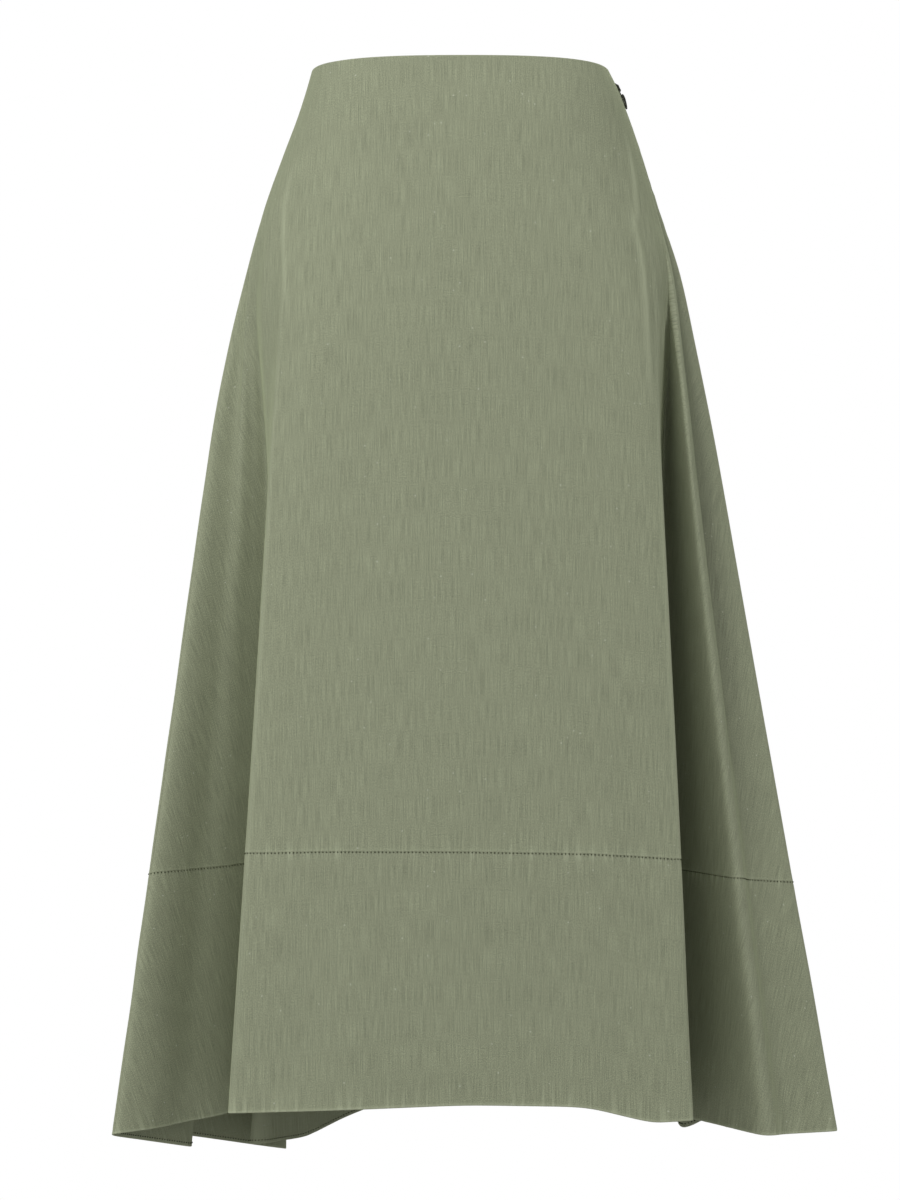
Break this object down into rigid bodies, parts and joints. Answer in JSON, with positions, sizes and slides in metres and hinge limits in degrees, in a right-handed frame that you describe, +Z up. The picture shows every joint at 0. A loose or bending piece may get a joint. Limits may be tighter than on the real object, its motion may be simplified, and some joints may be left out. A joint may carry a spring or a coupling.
{
  "type": "flared midi skirt",
  "caption": "Flared midi skirt standing open as if worn: plain faced waist edge, wide band joined on above a dipped hem, concealed zip in the wearer's left side seam.",
  "frame": {"origin": "centre of the waist edge, level with it at the side seams", "axes": "+Z up, -Y towards the front, +X towards the wearer's left"},
  "size_m": [0.5673, 0.363, 0.8807],
  "materials": {
    "cotton": "matt slubbed weave",
    "zip_tape": "matt tape",
    "dark_metal": "dark lacquer"
  },
  "bodies": {
    "skirt": {"front_panel": "cotton", "back_panel": "cotton", "front_hem_band": "cotton", "back_hem_band": "cotton", "zip_tape": "zip_tape", "zip_slider": "dark_metal"},
    "pull": {"zip_pull": "dark_metal"}
  },
  "joints": [
    {"name": "pull_swing", "type": "hinge", "parent": "skirt", "child": "pull", "pos_m": [0.12011, 0.00118, -0.00976], "axis": [0.0106, -0.9999, 0.0026], "range_deg": [0, 150]}
  ]
}
